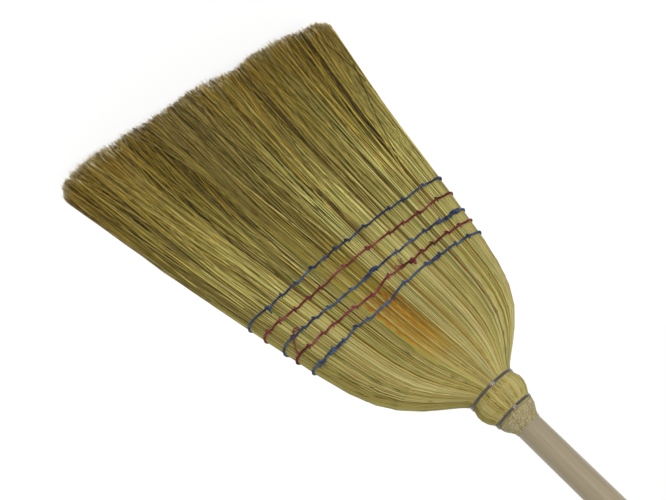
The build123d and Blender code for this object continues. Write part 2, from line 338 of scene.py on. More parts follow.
# ---- Straw, laid by geometry nodes ----
free_from = 0.845  # place down the guide where the stitched straw comes free
tufts_round = 84  # bunches in one turn of the fan
sunk_depth = 4.6  # how much deeper than its neighbours a bunch may lie
waver_reach = 0.005  # width of the band in which a stalk wavers, in turns
lean_reach = 0.03  # the most that two tufts' leans differ at their tips
bound_depth_share = 0.55  # share of its depth that a stalk has in the stitching
neck_girth = 1.3  # thickness of a stalk in the neck, where it is 1 lower down
tones = 16  # shades that the stalks of one colour come in
straw_colours = 4  # plain, golden, brown and stained
golden_from, brown_from = 0.86, 1.06  # levels of the colour noise
stain_turn, stain_reach, stain_share = 0.203, 0.03, 0.8
beside_turn, beside_reach, beside_share = 0.31, 0.09, 0.08
map_height = 500.0  # height that the colour map covers
# Height that one whole length of the guide would have if all of it were like its lowest row.
tip_slope = guide_heights[-2] * (len(guide_heights) - 1)

# What the tree that lays straw is told, with lengths in metres.
straw_inputs = {
    "Int": ("Count", "Seed", "Bends"),
    "Float": ("Turn From", "Turn To", "Start", "Start Spread", "End", "End Spread", "Depth", "Splay", "Lift",
              "Radius", "Tip Radius", "Brown", "Gather", "Fan", "Tone From", "Tone To", "Shade"),
}
full_unless_told = ("End", "Tone To")  # these start at 1, the others at 0


class StrawNodes(Nodes):
    """The nodes that lay straw, where each stalk has numbers of its own."""

    def __init__(self, tree):
        super().__init__(tree)
        self.given = tree.nodes.new("NodeGroupInput").outputs
        self.index = self.add("GeometryNodeInputIndex")
        self.names = []

    def chance(self, offset, low=0.0, high=1.0):
        """A number of each stalk's own, from low to high."""
        seed = self.math("ADD", self.given["Seed"], float(offset))
        return self.add("FunctionNodeRandomValue", {2: low, 3: high, 7: self.index, 8: seed}).outputs[1]

    def keep(self, geometry, name, value, domain="POINT", data_type="FLOAT"):
        self.names.append(name)
        inputs = {"Geometry": geometry, "Name": name, "Value": value}
        return self.add("GeometryNodeStoreNamedAttribute", inputs, domain=domain, data_type=data_type)

    def keep_all(self, geometry, values):
        for name, value in values.items():
            geometry = self.keep(geometry, name, value)
        return geometry

    def kept(self, name, data_type="FLOAT"):
        node = self.add("GeometryNodeInputNamedAttribute", {"Name": name}, data_type=data_type)
        return node.outputs["Attribute"]

    def of_guide(self, kind, spot):
        """The guide's position or normal at a spot on its map."""
        inputs = {"Mesh": self.given["Geometry"], "Value": self.add(kind),
                  "UV Map": self.kept("guide", "FLOAT_VECTOR"), "Sample UV": spot}
        return self.add("GeometryNodeSampleUVSurface", inputs, data_type="FLOAT_VECTOR").outputs["Value"]


def sown_stalks(n):
    """A point for each stalk, evenly round its stretch of the fan, with the stalk's numbers."""
    given = n.given
    stalks = n.add("GeometryNodePoints", {"Count": given["Count"]})
    even = n.math("DIVIDE", n.math("ADD", n.index, n.chance(1)), given["Count"])
    shorter = n.product(n.math("POWER", n.chance(8), 1.5), given["End Spread"])
    return n.keep_all(stalks, {
        "turn": n.mapped(even, target=(given["Turn From"], given["Turn To"])),
        "layer": n.chance(2),
        "drift": n.product(n.chance(3, -1.0, 1.0), n.chance(11)),
        "stray": n.chance(4),
        "girth": n.chance(5, 0.7, 1.3),
        "start": n.math("MULTIPLY_ADD", n.chance(7), given["Start Spread"], given["Start"]),
        "end": n.math("SUBTRACT", given["End"], shorter),
    })


def stalk_colour(n, tuft_number):
    """0 for a plain stalk, 1 for golden, 2 for brown and 3 for stained."""
    across = n.vector(y=n.kept("turn"))
    own = n.math("MULTIPLY_ADD", tuft_number, 0.6, n.chance(9, -0.2, 0.2))
    mixed = n.total(own, n.noise(across, 22.0, 2.0), n.given["Brown"])
    colour = n.total(n.math("GREATER_THAN", mixed, golden_from), n.math("GREATER_THAN", mixed, brown_from))
    # A stain runs down from the neck on the +X half of the front, with lone stained stalks beside it.
    in_stain = n.math("COMPARE", n.kept("turn"), guide_turn(stain_turn), stain_reach)
    by_stain = n.math("COMPARE", n.kept("turn"), guide_turn(beside_turn), beside_reach)
    share = n.math("MULTIPLY_ADD", in_stain, stain_share, n.product(by_stain, beside_share))
    stained = n.math("LESS_THAN", n.chance(10), share)
    return n.add("GeometryNodeSwitch", {"Switch": stained, "False": colour, "True": 3.0}, input_type="FLOAT")


def stalk_tone(n, sunk):
    """A whole number from 0, the darkest tone, and darker in a sunk tuft: Shade paints a sunk tuft's stalks
    darker, as painted shade of the hollow it lies in.
    """
    tone = n.mapped(n.chance(6), target=(n.given["Tone From"], n.given["Tone To"]))
    tone = n.product(tone, n.math("SUBTRACT", 1.0, n.product(sunk, n.given["Shade"])))
    return n.math("MINIMUM", n.math("FLOOR", n.product(tone, float(tones))), tones - 1.0)


def with_tufts(n, stalks):
    """Neighbouring stalks make a tuft, and share a colour, a depth and a lean."""
    along = n.vector(n.kept("turn"))
    tuft_place = n.total(n.product(n.kept("turn"), float(tufts_round)), n.noise(along, 90.0, 0.0))
    own = n.add("ShaderNodeTexWhiteNoise", {"W": n.math("FLOOR", tuft_place)}, noise_dimensions="1D")
    of_tuft = n.add("FunctionNodeSeparateColor", {"Color": own.outputs["Color"]}).outputs
    off_centre = n.math("SUBTRACT", 0.5, n.math("FRACT", tuft_place))
    sunk = n.math("POWER", of_tuft[1], 2.0)
    return n.keep_all(stalks, {
        "strip": n.math("MULTIPLY_ADD", stalk_colour(n, of_tuft[0]), float(tones), stalk_tone(n, sunk)),
        "tuft_depth": sunk,
        "tuft_lean": n.math("SUBTRACT", of_tuft[2], 0.5),
        "tuft_pull": n.math("DIVIDE", off_centre, float(tufts_round)),
    })


def stalk_turn(n, down, spread, freed):
    """Turn of each point of a stalk: it wavers, leans with its tuft, gathers or fans, and drifts."""
    place = n.vector(n.product(down, 7.0), n.product(n.kept("stray"), 90.0), n.product(n.kept("turn"), 40.0))
    waver = n.product(n.math("SUBTRACT", n.noise(place, 1.0, 1.0), 0.5), waver_reach)
    lean = n.product(n.kept("tuft_lean"), lean_reach, freed)
    pull = n.mapped(spread, target=(n.given["Gather"], n.given["Fan"]))
    drift = n.product(n.kept("drift"), n.given["Splay"], spread)
    return n.total(n.kept("turn"), waver, lean, n.product(n.kept("tuft_pull"), pull), drift)


def stalk_rise(n, down, spread, freed):
    """Height of each point of a stalk over the guide: less its layer and tuft, more at stray tips."""
    deeper = n.mapped(down, (0.4, 0.75), (bound_depth_share, 1.0))
    depth = n.total(n.product(n.kept("layer"), n.given["Depth"], deeper),
                    n.product(n.kept("tuft_depth"), freed, sunk_depth * MM))
    lift = n.product(n.math("POWER", n.kept("stray"), 6.0), n.given["Lift"], n.math("POWER", spread, 2.0))
    return n.math("SUBTRACT", lift, depth)


def laid_stalks(n, stalks):
    """A line for each stalk, laid down the guide. Comes with each point's place down it."""
    line = n.add("GeometryNodeResampleCurve",
                 {"Curve": n.add("GeometryNodeCurvePrimitiveLine"), "Count": n.given["Bends"]})
    laid = n.add("GeometryNodeInstanceOnPoints", {"Points": stalks, "Instance": line})
    laid = n.add("GeometryNodeRealizeInstances", {"Geometry": laid})
    share = n.add("GeometryNodeSplineParameter").outputs["Factor"]
    down = n.mapped(share, target=(n.kept("start"), n.kept("end")))
    # The height that a stalk's colour goes by near its end, counted from its own tip.
    to_tip = n.math("SUBTRACT", n.kept("end"), down)
    laid = n.keep(laid, "colour_height", n.product(to_tip, tip_slope * MM))
    spread = n.mapped(down, (n.math("MAXIMUM", n.kept("start"), free_from), 1.0))
    freed = n.mapped(down, (free_from, 1.0), interpolation_type="SMOOTHSTEP")
    spot = n.vector(stalk_turn(n, down, spread, freed), down)
    outward = n.of_guide("GeometryNodeInputNormal", spot)
    move = n.add("ShaderNodeVectorMath", {0: outward, "Scale": stalk_rise(n, down, spread, freed)},
                 operation="SCALE")
    place = n.add("ShaderNodeVectorMath", {0: n.of_guide("GeometryNodeInputPosition", spot), 1: move},
                  operation="ADD")
    return n.add("GeometryNodeSetPosition", {"Geometry": laid, "Position": place}), down


def swept_stalks(n, laid, down):
    """A three-sided stalk along each line, thick in the neck and thin at its tip."""
    thick = n.mapped(down, (0.35, 0.7), (neck_girth, 1.0))
    thin = n.mapped(down, (0.75, 1.0), (1.0, n.given["Tip Radius"]))
    girth = n.product(n.kept("girth"), thin, thick, n.given["Radius"])
    profile = n.add("GeometryNodeCurvePrimitiveCircle", {"Resolution": 3, "Radius": 1.0})
    profile = n.keep(profile, "round", n.add("GeometryNodeSplineParameter").outputs["Factor"])
    laid = n.add("GeometryNodeSetCurveTilt", {"Curve": laid, "Tilt": n.product(n.kept("stray"), 44.0)})
    return n.add("GeometryNodeCurveToMesh",
                 {"Curve": laid, "Profile Curve": profile, "Scale": girth, "Fill Caps": True})


def colour_mapped(n, swept):
    """Adds the map that the straw's colour goes by, a strip for each colour and tone by the height,
    and drops the stalks' numbers."""
    height = n.add("ShaderNodeSeparateXYZ", {0: n.add("GeometryNodeInputPosition")}).outputs["Z"]
    strip = n.total(n.kept("strip"), n.math("MULTIPLY_ADD", n.kept("round"), 0.6, 0.3))
    across = n.math("DIVIDE", strip, float(tones * straw_colours))
    up = n.math("DIVIDE", n.math("MINIMUM", height, n.kept("colour_height")), map_height * MM)
    numbers = list(n.names)
    swept = n.keep(swept, "OFBake", n.vector(across, up), "CORNER", "FLOAT2")
    for name in numbers:
        swept = n.add("GeometryNodeRemoveAttribute", {"Geometry": swept, "Name": name})
    return swept


def straw_tree():
    """Lays stalks on a guide sheet. Each runs down the guide at its own turn, in its own layer, and
    spreads from its tuft where it comes free of the stitching."""
    tree = bpy.data.node_groups.new("lay_straw", "GeometryNodeTree")
    tree.interface.new_socket("Geometry", in_out="INPUT", socket_type="NodeSocketGeometry")
    for kind, names in straw_inputs.items():
        for name in names:
            item = tree.interface.new_socket(name, in_out="INPUT", socket_type="NodeSocket" + kind)
            if name in full_unless_told:
                item.default_value = 1.0
    tree.interface.new_socket("Material", in_out="INPUT", socket_type="NodeSocketMaterial")
    tree.interface.new_socket("Geometry", in_out="OUTPUT", socket_type="NodeSocketGeometry")
    n = StrawNodes(tree)
    laid, down = laid_stalks(n, with_tufts(n, sown_stalks(n)))
    straw = colour_mapped(n, swept_stalks(n, laid, down))
    straw = n.add("GeometryNodeSetShadeSmooth", {"Geometry": straw, "Shade Smooth": True})
    straw = n.add("GeometryNodeSetMaterial", {"Geometry": straw, "Material": n.given["Material"]})
    n.fill(tree.nodes.new("NodeGroupOutput"), {"Geometry": straw})
    return tree


def grown(name, source, tree, **values):
    """The mesh that a geometry nodes tree makes from a source mesh, as a plain mesh."""
    holder = new_object(name + "_source", source)
    modifier = holder.modifiers.new("nodes", "NODES")
    modifier.node_group = tree
    sockets = {item.name: item.identifier for item in tree.interface.items_tree if item.in_out == "INPUT"}
    for key, value in values.items():
        modifier[sockets[key.replace("_", " ").title()]] = value
    evaluated = holder.evaluated_get(bpy.context.evaluated_depsgraph_get())
    mesh = bpy.data.meshes.new_from_object(evaluated)
    mesh.name = name
    bpy.data.objects.remove(holder)
    return mesh


# ---- Materials ----
# The patterns' scales are per metre, so 1000 gives specks of 1 mm.

# Along each colour of stalk, from its pale dry tip (0) to the top of the colour map (1).
plain_steps = (
    (0.0, "CFC6AC"), (0.016, "9A8648"), (0.2, "978B4E"), (0.3, "A2975A"), (0.36, "AEA666"), (0.5, "ACA56A"),
    (0.6, "B0A972"), (0.7, "A69C69"), (1.0, "B0A674"),
)
golden_steps = (
    (0.0, "C8B890"), (0.016, "A88A30"), (0.25, "A28E3E"), (0.36, "AC9A50"), (0.6, "AEA368"), (0.7, "A69A5E"),
    (1.0, "B2A46C"),
)
brown_steps = (
    (0.0, "A8946E"), (0.016, "604C28"), (0.25, "62532E"), (0.5, "7A6A38"), (0.7, "8E7D40"), (1.0, "9A8848"),
)
stained_steps = (
    (0.0, "9C8A54"), (0.3, "84763C"), (0.622, "988840"), (0.634, "A07C34"), (0.642, "96560E"),
    (0.652, "9E8E46"), (0.662, "A8680F"), (0.674, "A08C42"), (0.686, "A8701A"), (0.698, "AA9648"),
    (0.71, "AC7418"), (0.722, "A08C42"), (0.735, "AC7C20"), (0.75, "A89448"), (0.765, "AA8C3E"),
    (0.8, "A69A60"), (1.0, "B0A474"),
)
stain_shift = 0.044  # how far the stain's patches slip from stalk to stalk
free_levels = (0.14, 1.58)  # how light the darkest and the lightest tone are in free straw
bound_levels = (0.36, 0.85)  # the same for the darkest and the fifth tone in stitched straw
bound_tone_step = 0.018  # and what each tone adds to that
binding_heights = (0.42, 0.6)
patch_levels = (0.78, 1.14)
tint_steps = ((0.0, "E8FFE4"), (0.3, "F6F8FF"), (0.6, "FFFFF2"), (0.85, "FFF8E0"), (1.0, "FFF0F2"))
warmth_steps = ((0.0, "FFEEC0"), (0.35, "FFF8E2"), (1.0, "FFFFFF"))  # from the darkest tone


def new_material(name):
    material = bpy.data.materials.new(name)
    material.use_nodes = True
    tree = material.node_tree
    return material, Nodes(tree), tree.nodes["Principled BSDF"]


def straw_hue(n, up, strip, own):
    """The colour of each stalk along its height: plain, golden, brown or stained."""
    colour = n.ramp(up, plain_steps)
    slipped = n.math("MULTIPLY_ADD", own, stain_shift, n.math("SUBTRACT", up, stain_shift / 2))
    others = ((golden_steps, up), (brown_steps, up), (stained_steps, slipped))
    for number, (steps, height) in enumerate(others, start=1):
        is_this = n.math("GREATER_THAN", strip, float(number * tones) - 0.5)
        colour = n.mix_colour(is_this, colour, n.ramp(height, steps))
    return colour


def straw_level(n, up, strip, tone):
    """How light each length of a stalk is: tones that differ at random, whose very dark end is partly
    painted shade in the gaps between stalks.
    """
    free = n.mapped(tone, (0.0, tones - 1.0), free_levels)
    # Bound stalks look more alike: a few are dark, partly as painted shade between them, and the rest stay
    # close to one level.
    dark_few = n.mapped(tone, (0.0, 4.0), bound_levels)
    bound = n.math("MULTIPLY_ADD", tone, bound_tone_step, dark_few)
    binding = n.mapped(up, binding_heights)
    shade = n.mix(binding, free, bound)
    run = n.vector(n.product(strip, 3.7), n.product(up, 11.0))
    patchy = n.mapped(n.noise(run, 1.0, 2.0, Roughness=0.6), (0.3, 0.7), patch_levels)
    return n.product(shade, patchy)


def broom_corn_straw():
    """Dried broom-corn stalks: waxy and satin, olive and gold near the neck, browner at the tips."""
    material, n, shader = new_material("broom_corn_straw")
    parts = n.add("ShaderNodeSeparateXYZ", {0: n.add("ShaderNodeUVMap", uv_map="OFBake")}).outputs
    up = parts["Y"]
    strip = n.math("FLOOR", n.product(parts["X"], float(tones * straw_colours)))
    tone = n.math("MODULO", strip, float(tones))
    own = n.add("ShaderNodeTexWhiteNoise", {"W": strip}, noise_dimensions="1D").outputs["Value"]
    # The darker a stalk, the warmer it is; this also warms the painted shade of sunk tufts and deep layers.
    warmth = n.ramp(n.math("DIVIDE", tone, tones - 1.0), warmth_steps)
    tint = n.add("ShaderNodeVectorMath", {0: n.ramp(own, tint_steps), 1: warmth}, operation="MULTIPLY")
    hue = straw_hue(n, up, strip, own)
    tinted = n.add("ShaderNodeVectorMath", {0: hue, 1: tint}, operation="MULTIPLY")
    level = straw_level(n, up, strip, tone)
    colour = n.add("ShaderNodeVectorMath", {0: tinted, "Scale": level}, operation="SCALE")
    n.fill(shader, {"Base Color": colour, "Roughness": 0.5, "Specular IOR Level": 0.18})
    return material


def painted_shade_inner_straw():
    """The same stalks deep in the fan, painted dark brown as the shade that fills the gaps between the outer
    stalks.
    """
    material, n, shader = new_material("inner_straw")
    place = n.add("ShaderNodeTexCoord").outputs["Object"]
    stretched = n.add("ShaderNodeMapping", {"Vector": place, "Scale": (700, 700, 12)})
    grain = n.noise(stretched, 1.0, 2.0)
    tone = n.mix_colour(grain, srgb("2A1E16"), srgb("5A4834"))
    n.fill(shader, {"Base Color": tone, "Roughness": 0.8})
    return material


def cut_butts():
    """The shaved stalk ends: pithy pale specks with olive rinds between them."""
    material, n, shader = new_material("cut_butts")
    place = n.add("ShaderNodeTexCoord").outputs["Object"]
    longer = n.add("ShaderNodeMapping", {"Vector": place, "Scale": (1.0, 1.0, 0.6)})
    cells = n.add("ShaderNodeTexVoronoi", {"Vector": longer, "Scale": 1000.0, "Randomness": 1.0})
    rind = n.add("ShaderNodeTexVoronoi", {"Vector": longer, "Scale": 1000.0}, feature="DISTANCE_TO_EDGE")
    to_rind = rind.outputs["Distance"]
    own = n.add("ShaderNodeSeparateColor", {"Color": cells.outputs["Color"]}).outputs[0]
    pith_steps = ((0.0, "6E623C"), (0.3, "857A52"), (0.6, "918762"), (0.85, "9A9070"), (1.0, "7A683A"))
    edge = n.mapped(to_rind, (0.0, 0.12), (0.5, 0.0))
    tone = n.mix_colour(edge, n.ramp(own, pith_steps), srgb("6A5F30"))
    bump = n.add("ShaderNodeBump", {"Height": to_rind, "Strength": 0.3, "Distance": 0.5 * MM})
    n.fill(shader, {"Base Color": tone, "Normal": bump, "Roughness": 0.75})
    return material


def cotton_thread(name, dark, middle, light):
    """Dyed two-ply cotton twine: matt, dark in its twist, with paler worn fibres."""
    material, n, shader = new_material(name)
    place = n.add("ShaderNodeTexCoord").outputs["Object"]
    fibres = n.noise(place, 900.0, 3.0, Roughness=0.7)
    worn = n.noise(place, 90.0, 1.0)
    tone = n.ramp(n.mix(0.45, fibres, worn), ((0.36, dark), (0.5, middle), (0.64, light)))
    n.fill(shader, {"Base Color": tone, "Roughness": 0.9, "Specular IOR Level": 0.2})
    return material


def galvanised_wire():
    """Drawn steel wire: grey, with a sharp highlight and fine marks."""
    material, n, shader = new_material("galvanised_wire")
    marks = n.noise(n.add("ShaderNodeTexCoord").outputs["Object"], 400.0, 2.0)
    tone = n.ramp(marks, ((0.35, "605C5D"), (0.65, "706C6C")))
    roughness = n.mapped(marks, target=(0.14, 0.22))
    n.fill(shader, {"Base Color": tone, "Roughness": roughness, "Metallic": 1.0})
    return material


def pale_wood():
    """Planed softwood of the handle: pale, greyish tan, with faint lengthwise grain."""
    material, n, shader = new_material("pale_wood")
    place = n.add("ShaderNodeTexCoord").outputs["Object"]
    stretched = n.add("ShaderNodeMapping", {"Vector": place, "Scale": (1.0, 1.0, 0.05)})
    grain = n.noise(stretched, 260.0, 5.0, Roughness=0.6, Distortion=0.4)
    rings = n.noise(stretched, 60.0, 1.0)
    tone = n.ramp(n.mix(0.5, grain, rings), ((0.3, "746850"), (0.5, "84785F"), (0.7, "8E836C")))
    bump = n.add("ShaderNodeBump", {"Height": grain, "Strength": 0.25, "Distance": 0.3 * MM})
    n.fill(shader, {"Base Color": tone, "Normal": bump, "Roughness": 0.5, "Sheen Weight": 0.3,
                    "Sheen Roughness": 0.4})
    return material


straw = broom_corn_straw()
inner = painted_shade_inner_straw()
butts = cut_butts()
threads = {
    "blue": cotton_thread("blue_cotton_thread", "1A1E34", "343E5C", "5E6E8A"),
    "red": cotton_thread("red_cotton_thread", "3A1216", "6E2A30", "98585C"),
}
steel = galvanised_wire()
wood = pale_wood()

# ---- Build the straw ----
near_tip = 0.9975  # where the longest free stalks end, as a place down the guide
# The deeper layers take only the darker tones (Tone To below 1) and the top stalks skip the darkest (Tone
# From): painted shade under the top layer. Shade paints the sunk tufts of branches and fine tips darker in
# the same way.
straw_layers = {
    "stalks": dict(
        count=58, bends=22, start=0.13, end=near_tip, end_spread=0.008, depth=2.0 * MM, splay=0.035,
        lift=2.0 * MM, radius=0.48 * MM, tip_radius=0.8, fan=-0.4, tone_from=0.15),
    "under_stalks": dict(
        count=96, bends=17, start=0.13, end=near_tip, end_spread=0.008, depth=4.0 * MM, splay=0.03,
        radius=0.48 * MM, tip_radius=0.8, brown=0.08, fan=-0.4, tone_to=0.8),
    "branches": dict(
        count=110, bends=8, start=0.8, start_spread=0.08, end=near_tip, end_spread=0.009, depth=4.0 * MM,
        splay=0.07, lift=2.0 * MM, radius=0.48 * MM, tip_radius=0.7, brown=0.06, gather=0.7, fan=-0.5,
        shade=0.4),
    "fine_tips": dict(
        count=380, bends=6, start=0.89, start_spread=0.08, end=near_tip, end_spread=0.008, depth=5.5 * MM,
        splay=0.07, lift=3.0 * MM, radius=0.38 * MM, tip_radius=0.65, brown=0.12, gather=0.7, fan=-0.6,
        shade=0.5),
    "fringe": dict(
        count=150, bends=4, start=0.975, start_spread=0.008, end_spread=0.0035, depth=7.0 * MM, splay=0.02,
        lift=1.0 * MM, radius=0.22 * MM, tip_radius=0.6, gather=0.2, fan=-0.4, tone_from=0.5),
}
# The inner tips take only the darker tones: painted shade deep in the fan.
inner_tip_layer = dict(
    count=4200, bends=4, start=0.97, start_spread=0.004, end=0.994, end_spread=0.006, depth=17.0 * MM,
    splay=0.01, radius=0.3 * MM, tip_radius=0.7, brown=0.2, gather=0.3, fan=-0.3, tone_to=0.6)
guide = straw_guide()
laying = straw_tree()


def cover_bundle(side, facing, place):
    """One of a side's cover bundles. Place 0 lies at the -X edge, where the front half of the turn
    ends and the back half starts."""
    width = 0.5 / covers_per_side
    first = 0.5 + width * place if side else 0.5 - 0.5 * (place + 1) / covers_per_side
    span = {"turn_from": guide_turn(first), "turn_to": guide_turn(first + width), "material": straw}
    seed = 1000 * side + 100 * place
    layers = [grown(name, guide.copy(), laying, seed=seed + 20 * number, **values, **span)
              for number, (name, values) in enumerate(straw_layers.items())]
    finish_piece(joined(f"{facing}_straw_{place + 1}", layers), "cover_straw", f"cover_{facing}_{place + 1}")


def inner_body():
    """The inside of the straw, a dark sheet of painted shade, seen only in the gaps between the stalks."""
    around = 120
    end_z = 24  # above the sweeping edge
    bound_z, free_z = 300, 150
    bound_depth, free_depth = 2.6, 8.0  # under the outline, above the one height and below the other
    heights = [z for z in guide_heights if z > 60] + [end_z]
    places = []
    for z in heights:
        depth = blend(bound_depth, free_depth, min(max((bound_z - z) / (bound_z - free_z), 0.0), 1.0))
        for step in range(around):
            lift = tip_height(step / around) if z == end_z else 0.0
            point, normal = outline_point(z + lift, step / around)
            places.append((point - normal * depth) * MM)
    faces = ring_faces(around, len(heights))
    faces.append(tuple((len(heights) - 1) * around + step for step in range(around)))
    return new_object("inner_straw", made_mesh("inner_straw", places, faces, inner, smooth=False))


def inner_tips(side, facing):
    """The ends of the inner straw, seen from below."""
    return grown(f"{facing}_inner_tips", guide.copy(), laying, seed=5000 + side, material=straw,
                 turn_from=guide_turn(0.5 * side), turn_to=guide_turn(0.5 * side + 0.5), **inner_tip_layer)


def butt_cone():
    """The shaved surface of the butts, from above the upper wire to the handle."""
    around, heights = 96, 14
    low_z, high_z = upper_wire_z + waist_half + 0.6, butt_top_z + 1.5
    low_rise, high_rise = 0.4, -0.9  # over the outline
    unevenness = 0.12
    wobble = random.Random(4)
    places = []
    for level in range(heights + 1):
        share = level / heights
        for step in range(around):
            point, normal = outline_point(blend(low_z, high_z, share), step / around)
            rise = blend(low_rise, high_rise, share) + wobble.uniform(-unevenness, unevenness)
            places.append((point + normal * rise) * MM)
    faces = ring_faces(around, heights + 1, upward=True)
    return new_object("shaved_butts", made_mesh("shaved_butts", places, faces, butts))


both_sides = tuple(enumerate(("front", "back")))
for side, facing in both_sides:
    for place in range(covers_per_side):
        cover_bundle(side, facing, place)
finish_piece(inner_body(), "inner_straw", "core_bundle", "shoulder_left", "shoulder_right")
for side, facing in both_sides:
    finish_piece(new_object(f"{facing}_inner_tips", inner_tips(side, facing)), "inner_straw")
finish_piece(butt_cone(), "cover_straw")


# ---- Threads ----
def heading(path, k):
    """The way in which a path of (point, normal) places runs at place k."""
    return (path[min(k + 1, len(path) - 1)][0] - path[max(k - 1, 0)][0]).normalized()


def tube(path, radius, sides=6):
    """Points and faces of a tube round a list of (point, normal) places."""
    places = []
    for k, (point, normal) in enumerate(path):
        ahead = heading(path, k)
        side = ahead.cross(normal).normalized()
        out = side.cross(ahead)
        for step in range(sides):
            angle = 2 * math.pi * step / sides
            places.append(point + (out * math.cos(angle) + side * math.sin(angle)) * radius)
    faces = ring_faces(sides, len(path))
    faces.append(tuple(range(sides))[::-1])
    faces.append(tuple((len(path) - 1) * sides + step for step in range(sides)))
    return places, faces


ply_offset, ply_radius = 0.55, 0.58  # as shares of the cord's radius
ply_pitch = 3.4


def twisted(path, radius):
    """The two plies of a cord that follows a path of (point, normal) places."""
    plies = []
    for ply in (0.0, math.pi):
        strand, run = [], 0.0
        for k, (point, normal) in enumerate(path):
            run += (point - path[max(k - 1, 0)][0]).length
            angle = ply + 2 * math.pi * run / ply_pitch
            side = heading(path, k).cross(normal).normalized()
            turned = normal * math.cos(angle) + side * math.sin(angle)
            strand.append((point + turned * radius * ply_offset, turned))
        plies.append(tube(strand, radius * ply_radius))
    return plies


def piece_of(name, parts, material):
    """One piece made of several tubes."""
    places, faces = [], []
    for part_places, part_faces in parts:
        start = len(places)
        places += [place * MM for place in part_places]
        faces += [tuple(start + corner for corner in face) for face in part_faces]
    return new_object(name, made_mesh(name, places, faces, material))


def smooth_path(points, step=0.7):
    """A curve through (x, z, lift) points on the front, as evenly close (point, normal) places."""
    corners = []
    for x, z, lift in points:
        point, normal = outline_point(z, turn_at(x, z))
        corners.append((point + normal * lift, normal))
    path = []
    for k in range(len(corners) - 1):
        before, start = corners[max(k - 1, 0)][0], corners[k][0]
        end, after = corners[k + 1][0], corners[min(k + 2, len(corners) - 1)][0]
        count = max(int((end - start).length / step), 2)
        for j in range(count + (k == len(corners) - 2)):
            t = j / count
            point = 0.5 * (2 * start + (end - before) * t
                           + (2 * before - 5 * start + 4 * end - after) * t * t
                           + (3 * start - before - 3 * end + after) * t ** 3)
            path.append((point, corners[k][1].lerp(corners[k + 1][1], t).normalized()))
    return path


# Stitch places across the front of each row, from -X to +X, and the row's lie there.
row_stitches = (
    ((-88, 0), (-72, -1), (-51, -2), (-35, -2), (-5, -1), (21, 4), (43, 4), (55, 2), (72, 4), (84, 3),
     (98, 4)),
    ((-91, 1), (-75, 0), (-55, 0), (-42, 0), (-27, 1), (0, -1), (24, 4), (44, 2), (68, 1), (80, 1),
     (97, 1)),
    ((-93, 2), (-80, 0), (-60, 0), (-43, 0), (-23, 0), (4, 0), (33, 2), (60, 1), (76, 0), (89, 0),
     (102, 0)),
    ((-96, 0), (-71, 1), (-51, 0), (-33, 0), (-6, -1), (23, -1), (53, 1), (67, 1), (83, 1), (100, 0),
     (113, 0)),
    ((-98, 0), (-69, 0), (-52, -1), (-20, -1), (2, 0), (16, -1), (30, 0), (45, 0), (66, 2), (84, 2),
     (101, 3)),
)
row_colours = ("blue", "red", "blue", "red", "blue")
cord_radius = 1.15
cord_points = 720  # in one round of the fan
edge_rise, face_rise = 0.3, 0.8  # of the cord over the straw, as shares of its radius
stitch_step = 1.8  # how far the cord shifts where a stitch holds it
tight_share = 0.16  # share of the way to the next stitch that this shift takes
cord_sag = 0.6
back_lie = 2.0  # the most that a stitch on the back lies above or below its row
stitch_slant = 0.7  # the most that it leans, along the row for each mm of height
stitch_radius = 0.65
# A stitch over the cord, as heights over the cord's middle and distances out of the straw.
stitch_loop = ((2.7, -1.0), (2.3, 0.6), (1.4, 2.2), (0, 2.8), (-1.4, 2.1), (-2.1, 0.5), (-2.5, -1.0))


def row_lie(row, turn, stitches):
    """Height of a row's cord at a turn: it climbs between its stitches and steps back at each."""
    level = row_heights[row]
    for (turn_low, low), (turn_high, high) in zip(stitches, stitches[1:]):
        if turn <= turn_high:
            share = min(max((turn - turn_low) / (turn_high - turn_low), 0), 1)
            tooth = min(share / tight_share, (1 - share) / (1 - tight_share))
            sag = math.sin(math.pi * share) * cord_sag
            return level + blend(low, high, share) + stitch_step * (tooth - 0.5) - sag
    return level + stitches[-1][1]


def cord_path(row, stitches):
    """A row's cord once round the fan, pulled deeper into the straw at the narrow edges."""
    path = []
    for k in range(cord_points):
        turn = k / cord_points
        point, normal = outline_point(row_lie(row, turn, stitches), turn)
        rise = cord_radius * blend(edge_rise, face_rise, min(abs(normal.y) * 2, 1))
        path.append((point + normal * rise, normal))
    return [*path, path[0]]


def stitch(z, turn, slant):
    """One sewn stitch over the cord."""
    around = 4 * section(z)[0]
    loop = []
    for up, out in stitch_loop:
        point, normal = outline_point(z + up, (turn + slant * up / around) % 1)
        loop.append((point + normal * out, normal))
    return tube(loop, stitch_radius)


def stitched_row(row, spots):
    """A row's cord round the fan, with its stitches on the front and on the back."""
    chance = random.Random(20 + row)
    front = [(turn_at(x, row_heights[row]), lie) for x, lie in spots]
    back = [(1 - turn, chance.uniform(-back_lie, back_lie)) for turn, _ in front]
    stitches = sorted([*front, *back])
    last, first = stitches[-1], stitches[0]
    closed = [(last[0] - 1, last[1]), *stitches, (first[0] + 1, first[1])]
    parts = twisted(cord_path(row, closed), cord_radius)
    for turn, _ in stitches:
        parts.append(stitch(row_lie(row, turn, closed), turn, chance.uniform(-stitch_slant, stitch_slant)))
    colour = row_colours[row]
    piece = piece_of(f"row_{row + 1}_cord", parts, threads[colour])
    finish_piece(piece, f"{colour}_thread", f"row_{row + 1}_thread", f"row_{row + 1}_stitches")


for row, spots in enumerate(row_stitches):
    stitched_row(row, spots)


# ---- Knots, doubled stretches and loose ends on the front, as (x, z, lift) ----
knot_thread_radius = 0.62
steps_in_wrap = 14
blue_end_radius, red_end_radius, whisker_radius = 0.85, 0.7, 0.32


def knot(x, z, length, radius, turns):
    """A wrapping of thread round the cord, which runs along X there."""
    steps = steps_in_wrap * turns
    path = []
    for k in range(steps + 1):
        share = k / steps
        angle = 2 * math.pi * turns * share
        size = radius * (0.75 + 0.25 * math.sin(math.pi * share))
        point, normal = outline_point(z + size * math.cos(angle), turn_at(x + length * (share - 0.5), z))
        path.append((point + normal * (cord_radius * 0.9 + size * math.sin(angle)), normal))
    return tube(path, knot_thread_radius)


